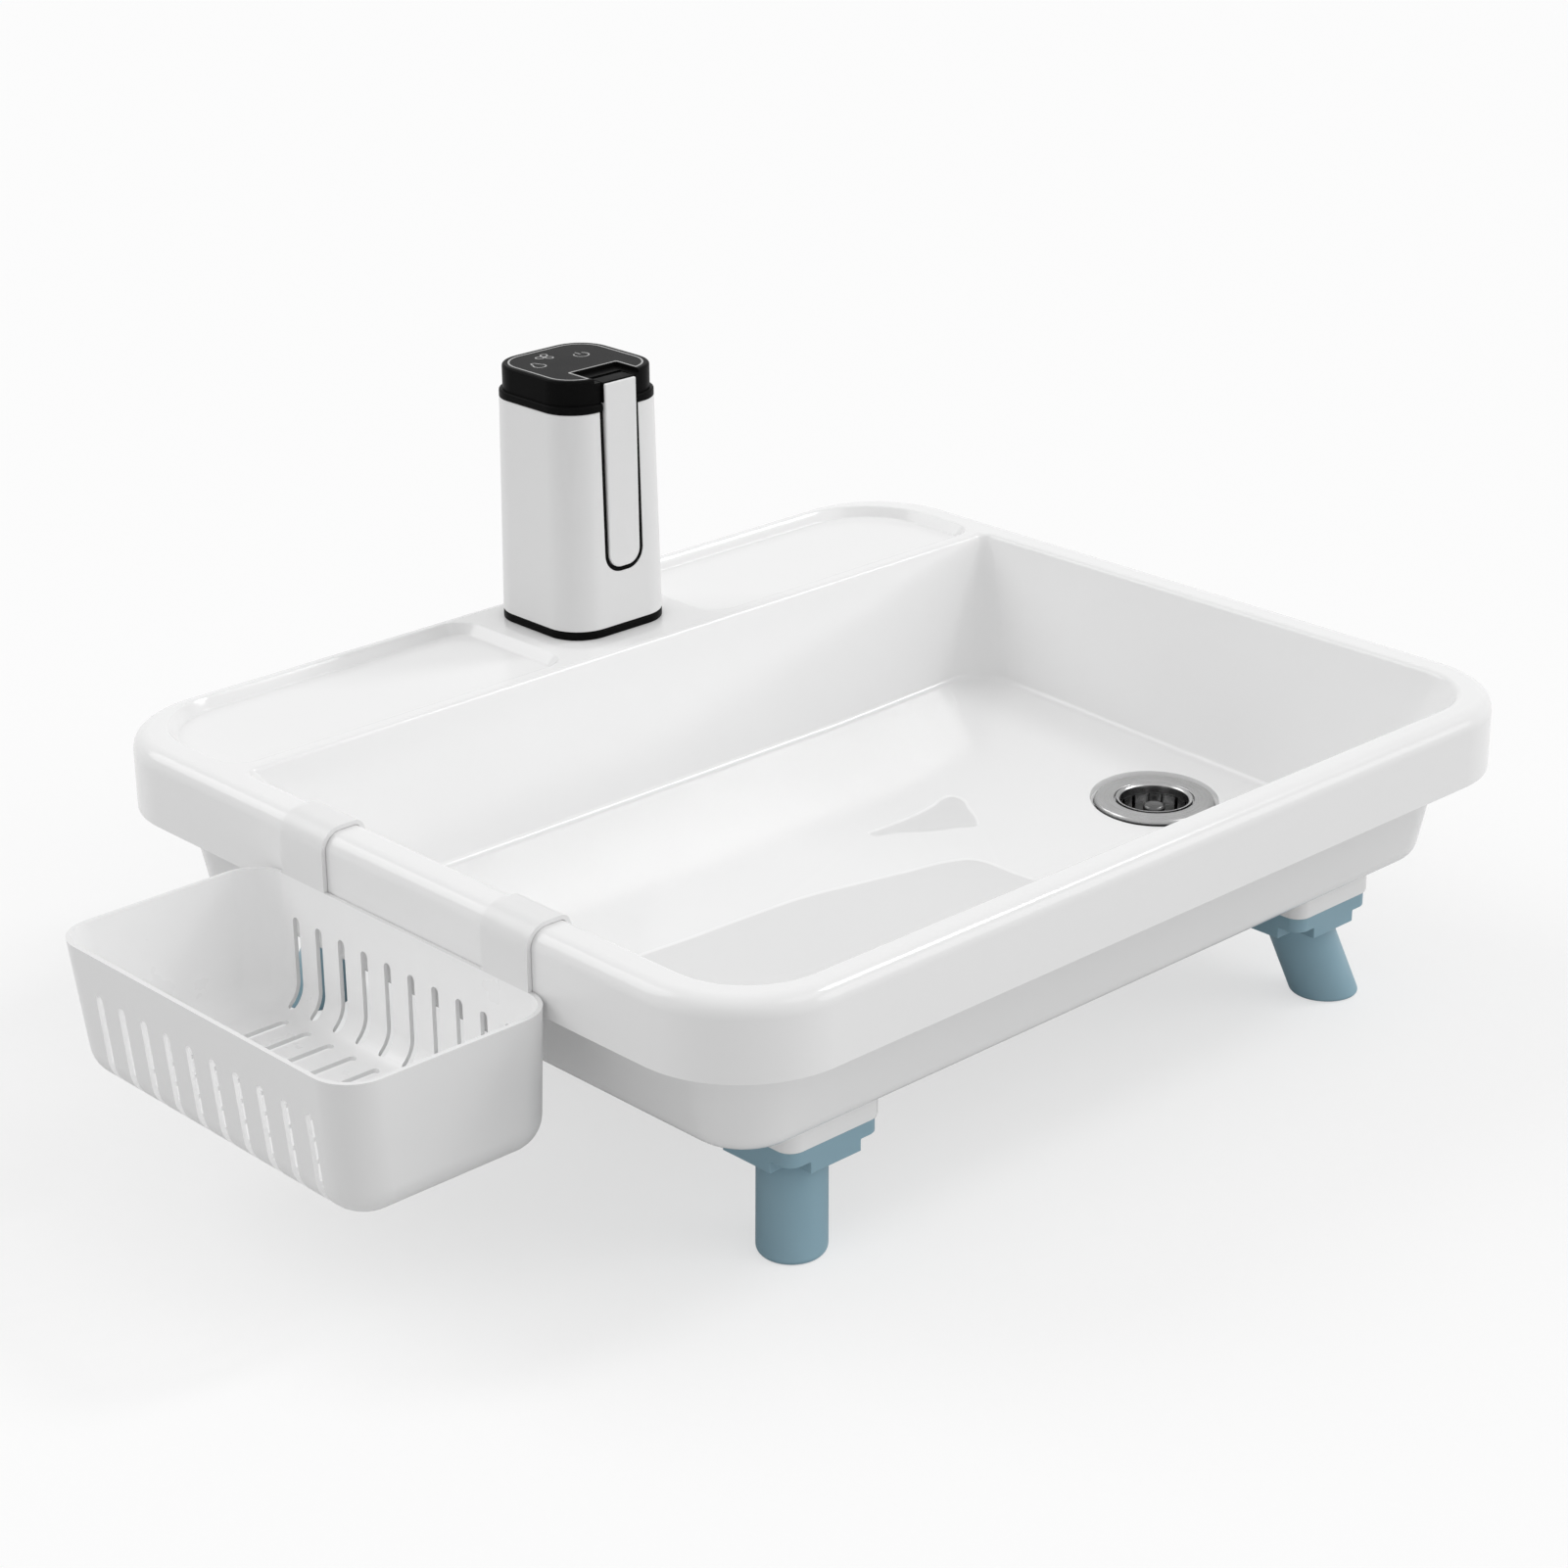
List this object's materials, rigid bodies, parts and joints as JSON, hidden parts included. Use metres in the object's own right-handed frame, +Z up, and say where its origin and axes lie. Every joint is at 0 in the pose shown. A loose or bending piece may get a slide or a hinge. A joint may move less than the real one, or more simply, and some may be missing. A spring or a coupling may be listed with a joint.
{
  "type": "portable sink",
  "caption": "Rectangular white tub sink on stub legs, with a back ledge, battery pump with folding spout, drain strainer and hook-on side basket.",
  "frame": {"origin": "on the ground, in the middle of the whole object's bounding box seen from above", "axes": "+X to the right, towards the drain end and away from the hanging basket; -Y to the front; +Z up"},
  "size_m": [0.7322, 0.517, 0.3275],
  "materials": {
    "tub_plastic": "smooth injection-moulded white plastic, satin to gloss",
    "basket_plastic": "smooth moulded white plastic",
    "leg_plastic": "moulded steel-blue plastic, satin",
    "drain_steel": "pressed stainless steel, polished",
    "rubber": "black rubber",
    "fitting_plastic": "moulded pale plastic",
    "pump_plastic": "white ABS, satin",
    "black_plastic": "black ABS, glossy",
    "touch_plastic": "black printed acrylic, high gloss",
    "nozzle_plastic": "dark grey moulded plastic",
    "screw_steel": "zinc-plated steel",
    "battery_wrap": "shrink wrap",
    "motor_steel": "plated steel can",
    "clear_tube": "pale milky tube",
    "circuit_board": "green circuit board"
  },
  "bodies": {
    "root": {"basin": "tub_plastic", "under_pan": "tub_plastic", "pan_screws": "screw_steel", "drain_flange": "drain_steel", "drain_gasket": "rubber", "drain_washer": "rubber", "drain_nut": "fitting_plastic", "waste_tail": "fitting_plastic"},
    "pump": {"pump_foot": "black_plastic", "pump_shell": "pump_plastic", "spout_cradle": "black_plastic", "pump_cap": "black_plastic", "touch_panel": "touch_plastic", "hinge_pin": "screw_steel", "battery_cell": "battery_wrap", "pump_motor": "motor_steel", "pump_head": "fitting_plastic", "riser_tube": "clear_tube", "inlet_barb": "fitting_plastic", "control_board": "circuit_board", "charge_port": "motor_steel", "foot_screws": "screw_steel"},
    "spout": {"spout_arm": "pump_plastic", "spout_knuckle": "black_plastic", "spout_nozzle": "nozzle_plastic"},
    "basket": {"hanging_basket": "basket_plastic"},
    "strainer": {"strainer_cup": "drain_steel", "strainer_knob": "drain_steel"},
    "front_left_leg": {"leg_front_left": "leg_plastic"},
    "front_right_leg": {"leg_front_right": "leg_plastic"},
    "back_left_leg": {"leg_back_left": "leg_plastic"},
    "back_right_leg": {"leg_back_right": "leg_plastic"}
  },
  "joints": [
    {"name": "pump_lift", "type": "slide", "parent": "root", "child": "pump", "axis": [0, 0, 1], "range_m": [0, 0.045]},
    {"name": "spout_hinge", "type": "hinge", "parent": "pump", "child": "spout", "pos_m": [0.06865, 0.17075, 0.319], "axis": [-1, 0, 0], "range_deg": [0, 90]},
    {"name": "basket_lift", "type": "slide", "parent": "root", "child": "basket", "axis": [0, 0, 1], "range_m": [0, 0.03]},
    {"name": "strainer_lift", "type": "slide", "parent": "root", "child": "strainer", "axis": [0, 0, 1], "range_m": [0, 0.04]},
    {"name": "front_left_leg_pull", "type": "slide", "parent": "root", "child": "front_left_leg", "axis": [0, 0, -1], "range_m": [0, 0.0125]},
    {"name": "front_right_leg_pull", "type": "slide", "parent": "root", "child": "front_right_leg", "axis": [0, 0, -1], "range_m": [0, 0.0125]},
    {"name": "back_left_leg_pull", "type": "slide", "parent": "root", "child": "back_left_leg", "axis": [0, 0, -1], "range_m": [0, 0.0125]},
    {"name": "back_right_leg_pull", "type": "slide", "parent": "root", "child": "back_right_leg", "axis": [0, 0, -1], "range_m": [0, 0.0125]}
  ]
}
